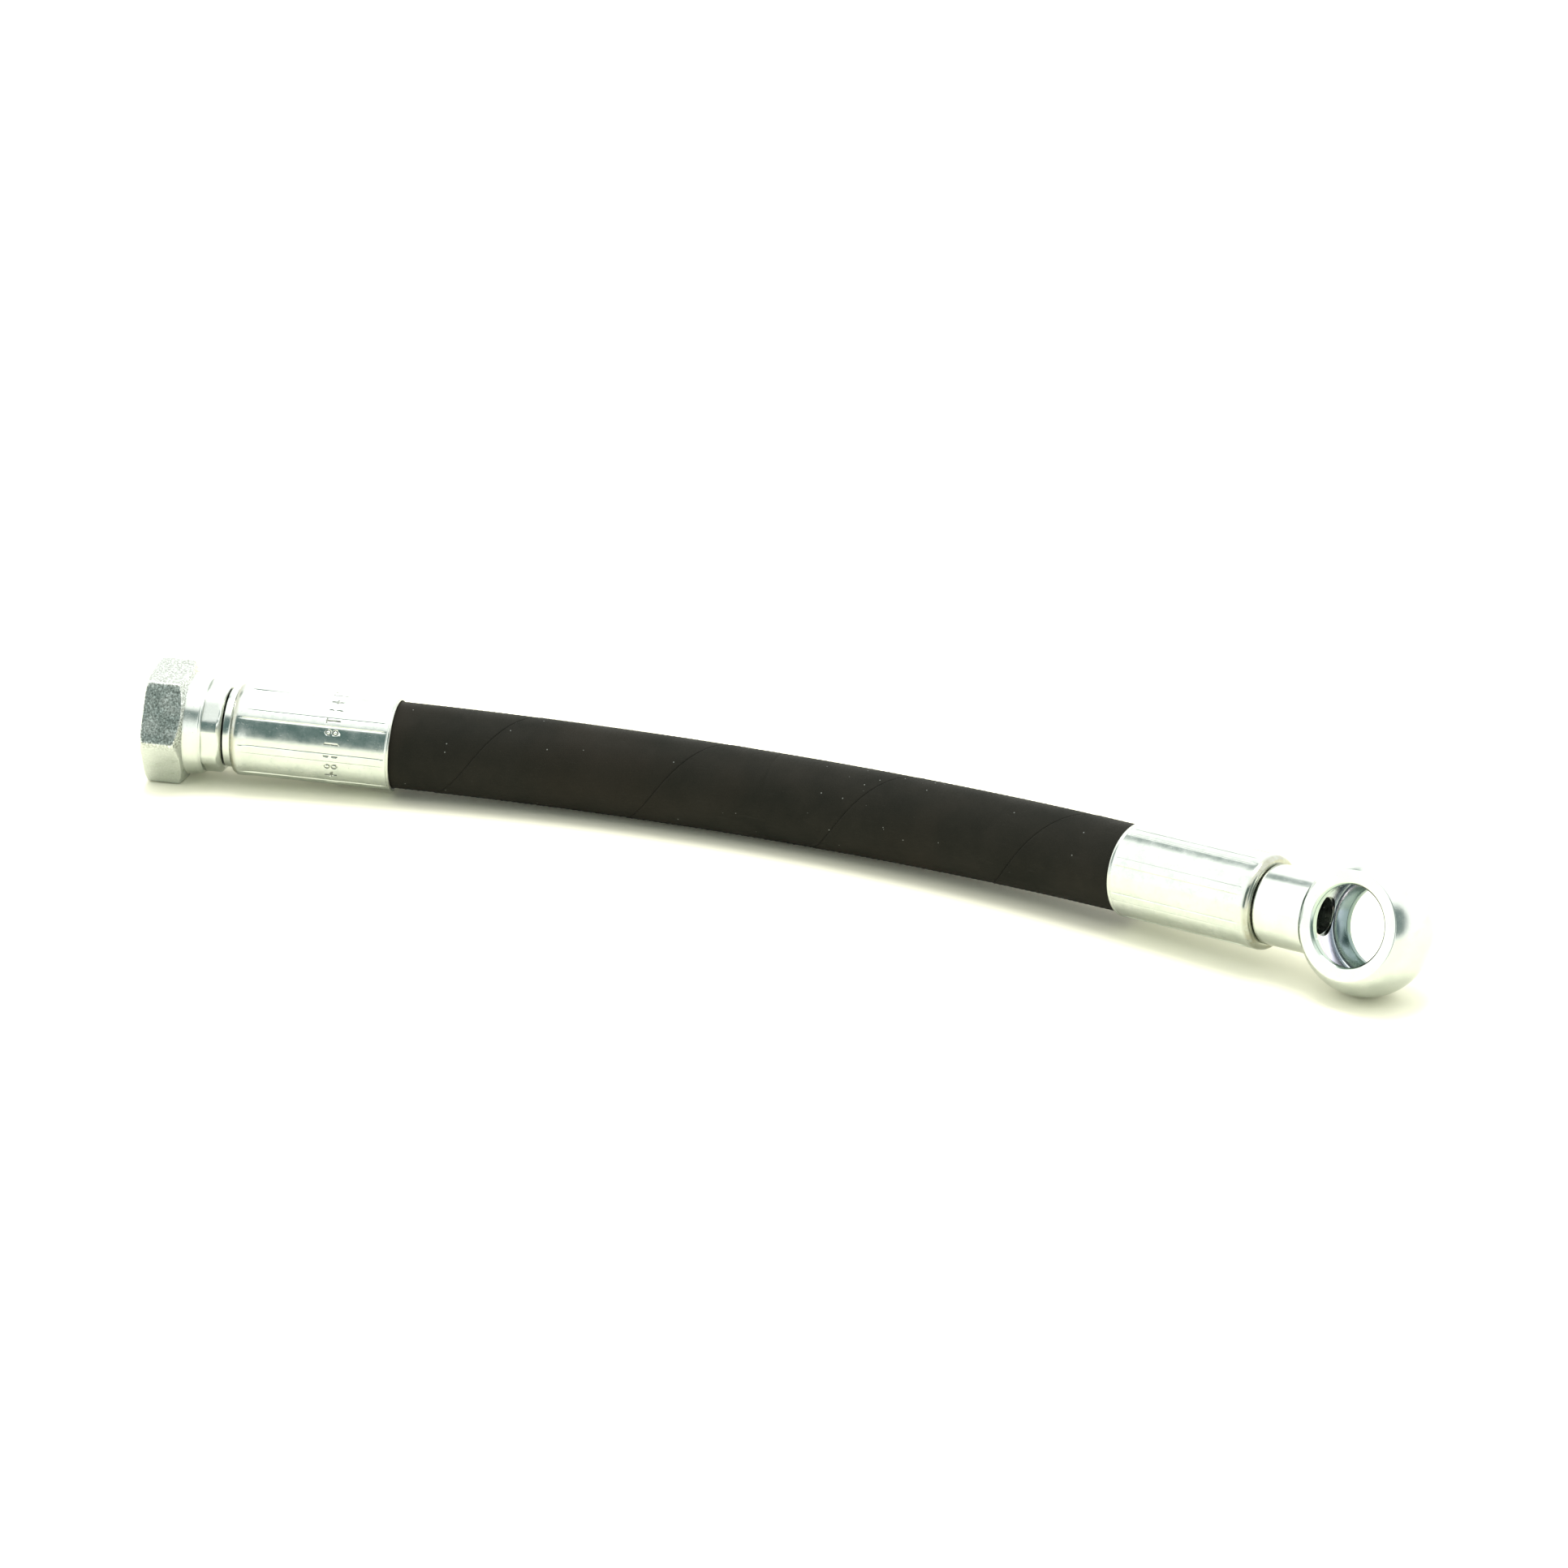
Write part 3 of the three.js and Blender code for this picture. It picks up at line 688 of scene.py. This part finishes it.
def barbed_tail():
    """From the hose end out to the ferrule, as (depth inside the ferrule, radius, fillet)."""
    made = [(2.4, BORE_RADIUS, 0.2), (2.4, 4.1, 0.25), (4.5, BARB_ROOT, 0)]
    for k in range(BARBS):
        depth = 4.6 + BARB_PITCH * k
        made += [(depth, BARB_RADIUS, 0.12), (depth + 1.2, BARB_RADIUS, 0.2)]
        made += [(depth + 1.6, BARB_ROOT, 0.2), (depth + 4.6, BARB_ROOT, 0.2)]
    made += [(27.9, BARB_ROOT, 0.1), (28.0, STOP_RADIUS, 0.2), (29.2, STOP_RADIUS, 0.2)]
    return made + [(29.3, STEM_RADIUS, 0.1)]


def cone(s):
    """Radius of the nipple's 24 degree sealing cone, to the nearest micrometre."""
    return round(CONE_RADIUS - (HEAD_START - s) * math.tan(math.radians(12)), 3)


def swivel_nipple():
    lip = COUPLING_LENGTH - FERRULE_LENGTH
    neck = NUT_LENGTH + 0.24
    return turned("swivel_nipple_body", [
        *[(COUPLING_LENGTH - depth, r, fillet) for depth, r, fillet in barbed_tail()],
        (lip + 0.15, STEM_RADIUS, 0.1), (lip + 0.15, 7.6, 0.1), (lip - 0.2, NECK_RADIUS, 0.3),
        (neck, NECK_RADIUS, 0.15), (neck - 0.02, 6.5, 0.1), (neck - 0.09, STEM_RADIUS, 0.1),
        (12.8, STEM_RADIUS, 0.4), (11.2, HEAD_RADIUS, 0.3),
        (HEAD_START, HEAD_RADIUS, 0.25), (HEAD_START, CONE_RADIUS, 0.1),
        (GROOVE[1], cone(GROOVE[1]), 0.12), (GROOVE[1], GROOVE_RADIUS, 0.2),
        (GROOVE[0], GROOVE_RADIUS, 0.2), (GROOVE[0], cone(GROOVE[0]), 0.12),
        (NIPPLE_START + 0.3, cone(NIPPLE_START + 0.3), 0.2), (NIPPLE_START, 4.9, 0.2),
        (NIPPLE_START, 3.95, 0.1), (NIPPLE_START + 0.2, BORE_RADIUS, 0.1),
    ], COUPLING)


def o_ring():
    cord = O_RING_CORD / 2
    outline = [
        (O_RING_CENTRE + cord * math.cos(a), O_RING_RADIUS + cord * math.sin(a), 0)
        for a in np.arange(28) * TURN / 28
    ]
    return turned("cone_o_ring_body", outline, COUPLING, 96)


def banjo_stem():
    seat = EYE_DISTANCE - EYE_SEAT
    return turned("banjo_stem_body", [
        *barbed_tail(),
        (FERRULE_LENGTH + 0.1, STEM_RADIUS, 0.1), (FERRULE_LENGTH + 0.12, 7.7, 0.05),
        (FERRULE_LENGTH + 0.4, NECK_RADIUS, 0.2), (seat - 0.02, NECK_RADIUS, 0),
        (seat - 0.02, PLUG_RADIUS, 0), (seat + PLUG_LENGTH, PLUG_RADIUS, 0.1),
        (seat + PLUG_LENGTH, BORE_RADIUS, 0.1),
    ], BANJO)


rigid(swivel_nipple(), "nut_end", "swivel_nipple", [ZINC])
rigid(o_ring(), "nut_end", "cone_o_ring", [SEAL])
rigid(banjo_stem(), "banjo_end", "banjo_stem", [ZINC])

# ---- ferrules ----

RIDGES = 8
RIDGE_HALF_WIDTH = 0.68
FERRULE_BODY = 9.3
HOSE_SEAT = 7.7
MARK_COUNT = 24
MARK_PLACE = 11.9
MARK_SIZE = 1.3
MARK_DEPTH = 0.16
MARK_HALF_WIDTH = 0.11
RING_SIDES = 14


def ridge_height(theta, s):
    """Metal raised in the gaps between the crimping dies, with a fine groove along each side."""
    step = TURN / RIDGES
    arc = np.abs((theta + step / 2) % step - step / 2) * FERRULE_BODY
    plateau = 1 - smoothstep((arc - RIDGE_HALF_WIDTH) / 0.13)
    groove = np.exp(-(((arc - RIDGE_HALF_WIDTH - 0.22) / 0.1) ** 2))
    reach = smoothstep((s - 0.9) / 0.6) * smoothstep((FERRULE_LENGTH - 1.3 - s) / 2.2)
    tall = 0.09 + 0.05 * smoothstep((s - 22) / 7)
    return reach * (tall * plateau - 0.06 * groove)


def ferrule(name, matrix, seed, roll=0.0):
    """A crimped sleeve, from its mouth on the hose at 0 to its rolled lip. roll is in degrees."""
    step_degrees = 360 / RIDGES
    offsets = np.array([0, 2.0, 3.7, 4.2, 4.6, 5.0, 5.3, 5.6, 6.2, 7.5, 10, 13, 16.5, 20])
    offsets = np.concatenate([-offsets[:0:-1], offsets])
    angles = np.radians(np.add.outer(np.arange(RIDGES) * step_degrees, offsets).ravel())
    body_s = [4.0, 5.5, 7, 8.5, *np.arange(9.4, 15.6, 0.6), 17.5, 19, 21, 23, 25, 27, 28]
    outside = [
        (0.0, 8.98, 0.1), (0.03, 9.22, 0.1), (0.22, 9.44, 0.12), (0.5, 9.44, 0.1), (0.62, 9.34, 0.06),
        (0.72, 9.25, 0.06), (0.88, FERRULE_BODY, 0.08),
        *[(s, FERRULE_BODY, 0) for s in (1.1, 1.5, 1.9, 2.7, *body_s)],
        (29, 9.31, 0), (30, 9.35, 0), (30.8, 9.4, 0), (31.3, 9.42, 0), (31.7, 9.4, 0), (32.0, 9.33, 0),
        (32.3, 9.18, 0), (32.55, 8.98, 0), (32.72, 8.72, 0), (FERRULE_LENGTH, 8.3, 0.1),
    ]
    inside = [
        (FERRULE_LENGTH, 7.6, 0.2), (32.5, 6.75, 0.2), (32.2, 6.5, 0.1), (29.9, 6.5, 0.3),
        (27.8, HOSE_SEAT, 0.4), (3.2, HOSE_SEAT, 1.0), (0.6, HOSE_RADIUS, 0.4),
    ]
    s, r = rounded(outside + inside)
    exterior = (r > 8.6) & (s < 32.7)
    theta = angles[:, None]
    r = r[None, :] + np.where(exterior, ridge_height(theta, s[None, :]), 0)
    # each die leaves its arc very slightly flat, and no two quite alike
    rng = np.random.default_rng(seed)
    sink = 0.035 * rng.random(RIDGES)[np.arange(len(angles)) // len(offsets)]
    middle = smoothstep((s - 2) / 3) * smoothstep((31.5 - s) / 3)
    r = r - np.where(exterior, sink[:, None] * middle[None, :], 0)
    turn = math.radians(step_degrees / 2 + 90 + roll)
    return loft(name, angles + turn, s, r, about(matrix), sharp=28)


def cut(target, cutter):
    """Take cutter's volume out of target."""
    shell = bmesh.new()
    shell.from_mesh(cutter.data)
    bmesh.ops.recalc_face_normals(shell, faces=shell.faces)
    shell.to_mesh(cutter.data)
    shell.free()
    modifier = target.modifiers.new("cut", "BOOLEAN")
    modifier.operation, modifier.solver, modifier.object = "DIFFERENCE", "EXACT", cutter
    modifier.use_self = True
    bpy.context.view_layer.update()
    mesh = bpy.data.meshes.new_from_object(target.evaluated_get(bpy.context.evaluated_depsgraph_get()))
    target.modifiers.clear()
    target.data = mesh
    bpy.data.objects.remove(cutter)


def box_points(x0, x1, y0, y1, z0, z1):
    return np.array([(x, y, z) for x in (x0, x1) for y in (y0, y1) for z in (z0, z1)], float)


BOX_FACES = [(0, 1, 3, 2), (4, 6, 7, 5), (0, 4, 5, 1), (2, 3, 7, 6), (0, 2, 6, 4), (1, 5, 7, 3)]


def marks(matrix):
    """Generic marks to stamp round a ferrule: bars, tees, crosses and pairs of rings."""
    # bars along the ferrule as (start, end, 0), bars across it as (place, place, length)
    bars = {
        "tee": [(-1.1, 1.1, 0), (1.0, 1.0, 0.9)],
        "bar": [(-1.1, 1.1, 0)],
        "pair": [(-1.1, -0.2, 0), (0.3, 1.1, 0)],
        "cross": [(-0.9, 0.9, 0), (0.0, 0.0, 0.9)],
    }
    low, high = FERRULE_BODY - MARK_DEPTH, FERRULE_BODY + 0.6
    ring_section = ((0.62, low), (0.62, high), (0.41, high), (0.41, low))
    ring_quads = [
        (4 * i + j, 4 * k + j, 4 * k + (j + 1) % 4, 4 * i + (j + 1) % 4)
        for i, k in ((i, (i + 1) % RING_SIDES) for i in range(RING_SIDES)) for j in range(4)
    ]
    vertices, faces = [], []

    def put(points, quads, theta):
        start = len(vertices)
        cosine, sine = math.cos(theta), math.sin(theta)
        turn = np.array(((1, 0, 0), (0, cosine, -sine), (0, sine, cosine)))
        for p in points @ turn.T @ matrix[:3, :3].T + matrix[:3, 3]:
            vertices.append(tuple(p * MM))
        faces.extend([tuple(start + k for k in quad) for quad in quads])

    order = ["tee", "ring", "bar", "cross", "ring", "pair", "bar", "ring", "tee", "pair", "cross", "bar"]
    for k, kind in enumerate(order * 2):
        theta = TURN * (k + 0.35) / MARK_COUNT
        if kind == "ring":
            for side in (-0.55 * MARK_SIZE, 0.55 * MARK_SIZE):
                ring = np.array([
                    (MARK_PLACE + side + q * math.cos(a), q * 0.9 * math.sin(a), z)
                    for a in np.arange(RING_SIDES) * TURN / RING_SIDES for q, z in ring_section
                ])
                put(ring, ring_quads, theta)
            continue
        for bar in bars[kind]:
            start, end, cross = (value * MARK_SIZE for value in bar)
            if cross:
                start, end = start - MARK_HALF_WIDTH, end + MARK_HALF_WIDTH
            wide = max(cross / 2, MARK_HALF_WIDTH)
            place = box_points(MARK_PLACE + start, MARK_PLACE + end, -wide, wide, low, high)
            put(place, BOX_FACES, theta)
    return add_mesh("marks", vertices, faces)


FLIP = np.array([(-1, 0, 0, COUPLING_LENGTH), (0, 1, 0, 0), (0, 0, -1, 0), (0, 0, 0, 1)], float)
nut_ferrule = ferrule("nut_end_ferrule_body", COUPLING @ FLIP, 5, 10.5)
cut(nut_ferrule, marks(COUPLING @ FLIP))
rigid(nut_ferrule, "nut_end", "nut_end_ferrule", [ZINC_FERRULE])
rigid(ferrule("banjo_end_ferrule_body", BANJO, 8), "banjo_end", "banjo_end_ferrule", [ZINC_FERRULE])

# ---- banjo eye ----

EYE_CHAMFER_RADIUS = 8.4
DRILL_SIDES = 48


def drill(start, end, radius):
    """A cylinder along the stem, from start to end as measured from the eye's centre."""
    ring = np.arange(DRILL_SIDES) * TURN / DRILL_SIDES
    ends = np.concatenate([
        np.stack([0 * ring + EYE_DISTANCE + x, radius * np.cos(ring), radius * np.sin(ring)], -1)
        for x in (start, end)
    ])
    after = [*range(1, DRILL_SIDES), 0]
    sides = [(k, after[k], DRILL_SIDES + after[k], DRILL_SIDES + k) for k in range(DRILL_SIDES)]
    caps = [tuple(range(DRILL_SIDES - 1, -1, -1)), tuple(range(DRILL_SIDES, 2 * DRILL_SIDES))]
    return add_mesh("drill", (ends @ BANJO[:3, :3].T + BANJO[:3, 3]) * MM, caps + sides)


def banjo_eye():
    half = EYE_THICKNESS / 2
    land = RECESS_WIDTH / 2
    floor_half = land - RECESS_SHOULDER
    crown = (EYE_RADIUS ** 2 - EYE_FACE_RADIUS ** 2) / half ** 2
    outside = [
        (x, math.sqrt(EYE_RADIUS ** 2 - crown * x * x), 0)
        for x in np.linspace(-half + 0.3, half - 0.3, 34)
    ]
    shoulder = [
        (floor_half + RECESS_SHOULDER * t, RECESS_RADIUS - (RECESS_RADIUS - EYE_BORE_RADIUS) * t ** 1.6)
        for t in (0, 0.15, 0.3, 0.45, 0.6, 0.75, 0.88)
    ]
    outline = [
        (-half, EYE_CHAMFER_RADIUS, 0.1), (-half, EYE_FACE_RADIUS, 0.15), *outside,
        (half, EYE_FACE_RADIUS, 0.15), (half, EYE_CHAMFER_RADIUS, 0.1),
        (half - 0.4, EYE_BORE_RADIUS, 0.1), (land, EYE_BORE_RADIUS, 0.12),
        *[(x, r, 0) for x, r in reversed(shoulder)], (floor_half - 0.12, RECESS_RADIUS - 0.06, 0),
        *[(x, RECESS_RADIUS - 0.04, 0) for x in (2.4, 1.2, 0, -1.2, -2.4)],
        (0.12 - floor_half, RECESS_RADIUS - 0.06, 0), *[(-x, r, 0) for x, r in shoulder],
        (-land, EYE_BORE_RADIUS, 0.12), (0.4 - half, EYE_BORE_RADIUS, 0.1),
    ]
    # the bore runs across the stem and is rolled about it
    across = np.array([(0, 1, 0), (-1, 0, 0), (0, 0, 1)], float)
    cosine, sine = math.cos(-EYE_ROLL), math.sin(-EYE_ROLL)
    local = np.eye(4)
    local[:3, :3] = np.array([(1, 0, 0), (0, cosine, -sine), (0, sine, cosine)]) @ across
    local[0, 3] = EYE_DISTANCE
    s, r = rounded(outline)
    slots = (np.maximum(r, np.roll(r, -1)) < RECESS_RADIUS + 0.1) & (np.abs(s) < half - 0.05)
    angles = np.arange(160) * TURN / 160
    eye = loft("banjo_eye_body", angles, s, r, about(BANJO @ local), slots.astype(int), sharp=26)
    seat = box_points(EYE_DISTANCE - EYE_SEAT - 4, EYE_DISTANCE - EYE_SEAT, -10, 10, -10, 10)
    cut(eye, add_mesh("seat", (seat @ BANJO[:3, :3].T + BANJO[:3, 3]) * MM, BOX_FACES))
    cut(eye, drill(-EYE_SEAT - 1, 0.0, PASSAGE_RADIUS))
    cut(eye, drill(-EYE_SEAT - 1, PLUG_LENGTH + 0.1 - EYE_SEAT, PLUG_RADIUS + 0.1))
    eye.data.set_sharp_from_angle(angle=math.radians(26))
    return eye


rigid(banjo_eye(), "banjo_end", "banjo_eye", [ZINC, ZINC_BORE_PAINTED_LIGHT])

# ---- studio: white floor, white surroundings with a darker side behind the camera, soft key light ----

floor = add_mesh("floor", [(-6, -6, 0), (6, -6, 0), (6, 6, 0), (-6, 6, 0)], [(0, 1, 2, 3)])
paper = new_material("white_paper")
paper_grain = paper.noise(paper.object_place(), 60, 3)
paper.shade(
    Base_Color=paper.mix(paper_grain, (0.95, 0.93, 0.76, 1), (0.97, 0.95, 0.80, 1)),
    Roughness=0.9,
)
floor.data.materials.append(paper.owner)

SKY_BRIGHT = (1.79, 1.81, 1.75, 1)
SKY_DARK = (0.16, 0.25, 0.24, 1)
# the dark side, in degrees: its direction, and where it ends to the sides and above (full, then none)
DARK_AZIMUTH = -82
DARK_SIDES = (24, 42)
DARK_TOP = (50, 56)
# separate dark patches: azimuth, elevation, full within, none beyond, depth
PATCHES = ((-30, 28, 18, 28, 0.9), (144, 50, 5, 12, 0.8))

world = bpy.data.worlds.new("studio")
bpy.context.scene.world = world
sky = Nodes(world)


def cosine_of(degrees):
    return math.cos(math.radians(degrees))


def sky_direction(azimuth, elevation):
    a, e = math.radians(azimuth), math.radians(elevation)
    return Vector((math.cos(e) * math.cos(a), math.cos(e) * math.sin(a), math.sin(e)))


def sky_vector(operation, *vectors, output="Vector"):
    return sky.add("VectorMath", dict(enumerate(vectors)), operation=operation).outputs[output]


def sky_step(value, low, high):
    return sky.span(value, low, high, 0, 1, smooth=True)


direction = sky.add("TexCoord").outputs["Generated"]
height = sky.add("SeparateXYZ", {"Vector": direction}).outputs["Z"]
level = sky_vector("NORMALIZE", sky_vector("MULTIPLY", direction, (1, 1, 0)))
towards = sky_vector("DOT_PRODUCT", level, sky_direction(DARK_AZIMUTH, 0), output="Value")
# the dark side's lower edge starts at the horizon and climbs to the right
edge = sky_direction(-86, 3).cross(sky_direction(-65, 36)).normalized()
above = sky_vector("DOT_PRODUCT", direction, edge, output="Value")
dark = sky_step(height, 0.0, 0.06)
for mask in (
    sky_step(towards, cosine_of(DARK_SIDES[1]), cosine_of(DARK_SIDES[0])),
    sky_step(height, cosine_of(90 - DARK_TOP[1]), cosine_of(90 - DARK_TOP[0])),
    sky_step(above, -0.03, 0.04),
):
    dark = sky.math("MULTIPLY", dark, mask)
for azimuth, elevation, full, none, depth in PATCHES:
    near = sky_vector("DOT_PRODUCT", direction, sky_direction(azimuth, elevation), output="Value")
    patch = sky_step(near, cosine_of(none), cosine_of(full))
    dark = sky.math("MAXIMUM", dark, sky.math("MULTIPLY", patch, depth))
background = sky.tree.nodes["Background"]
sky.set(background.inputs["Color"], sky.mix(dark, SKY_BRIGHT, SKY_DARK))
sky.set(background.inputs["Strength"], 1.0)

lamp = bpy.data.lights.new("key_light", "AREA")
lamp.shape, lamp.size, lamp.energy, lamp.color = "DISK", 1.1, 28, (1.0, 1.0, 0.97)
key_light = bpy.data.objects.new("key_light", lamp)
bpy.context.collection.objects.link(key_light)
key_light.location = (-0.1, 0.25, 2.1)
key_light.rotation_euler = (-key_light.location).to_track_quat("-Z", "Y").to_euler()

bpy.context.scene.view_settings.view_transform = "Standard"

bpy.context.view_layer.update()
